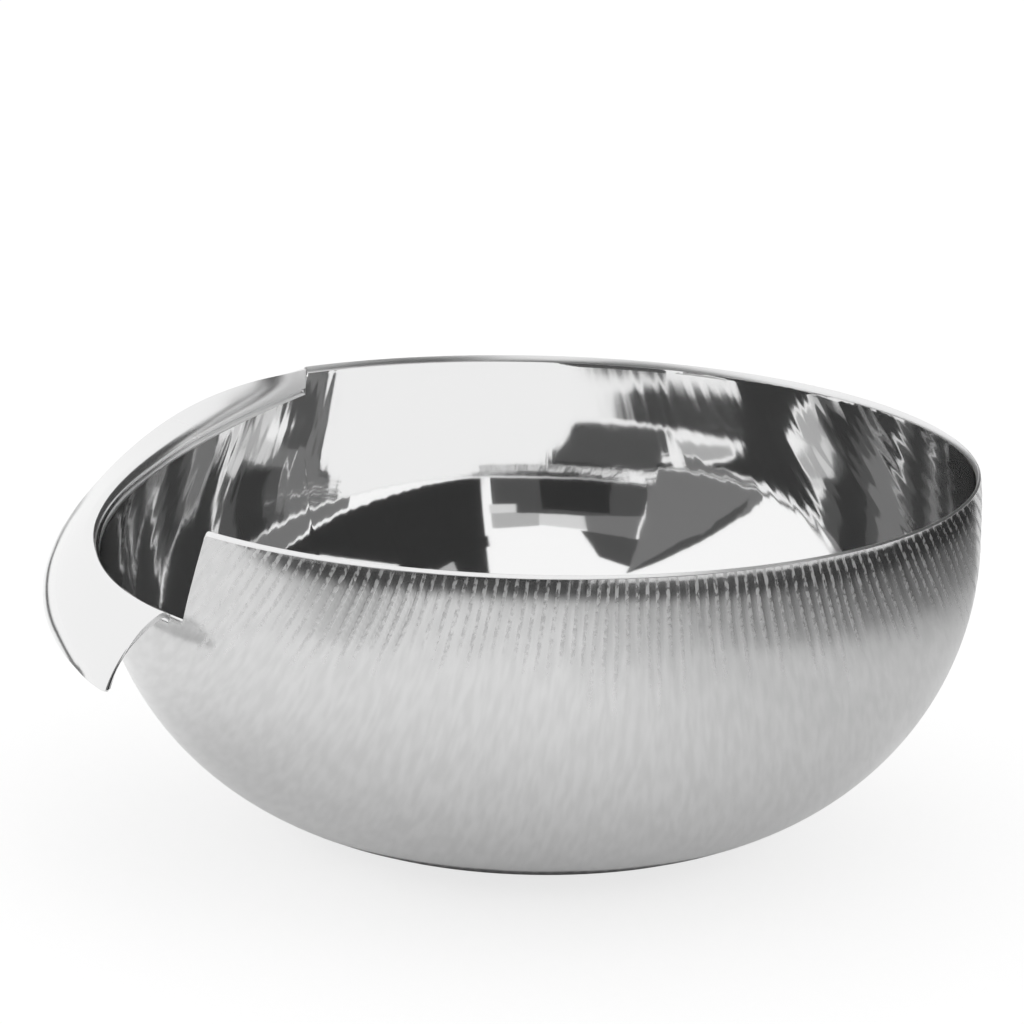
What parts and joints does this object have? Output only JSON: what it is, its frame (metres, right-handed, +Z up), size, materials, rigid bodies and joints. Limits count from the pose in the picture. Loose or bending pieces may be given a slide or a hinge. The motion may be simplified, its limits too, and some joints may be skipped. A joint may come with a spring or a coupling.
{
  "type": "offering bowl",
  "caption": "Round raised silver bowl with a ribbed outside, a mirror inside and a smooth lip turned outward and down beside a slit in its rim",
  "frame": {"origin": "on the bowl's axis, on the surface it stands on", "axes": "+Z up along the bowl's axis, -Y towards the side from which the slit and the lip's tip are seen, -X towards the turned lip"},
  "size_m": [0.2346, 0.222, 0.0964],
  "materials": {
    "ribbed_silver": "satin, ribbed by the hammer outside and polished inside",
    "polished_silver": "mirror polished",
    "foot_silver": "satin"
  },
  "bodies": {
    "root": {"bowl_body": "ribbed_silver", "turned_lip": "polished_silver", "foot_disc": "foot_silver"}
  },
  "joints": []
}
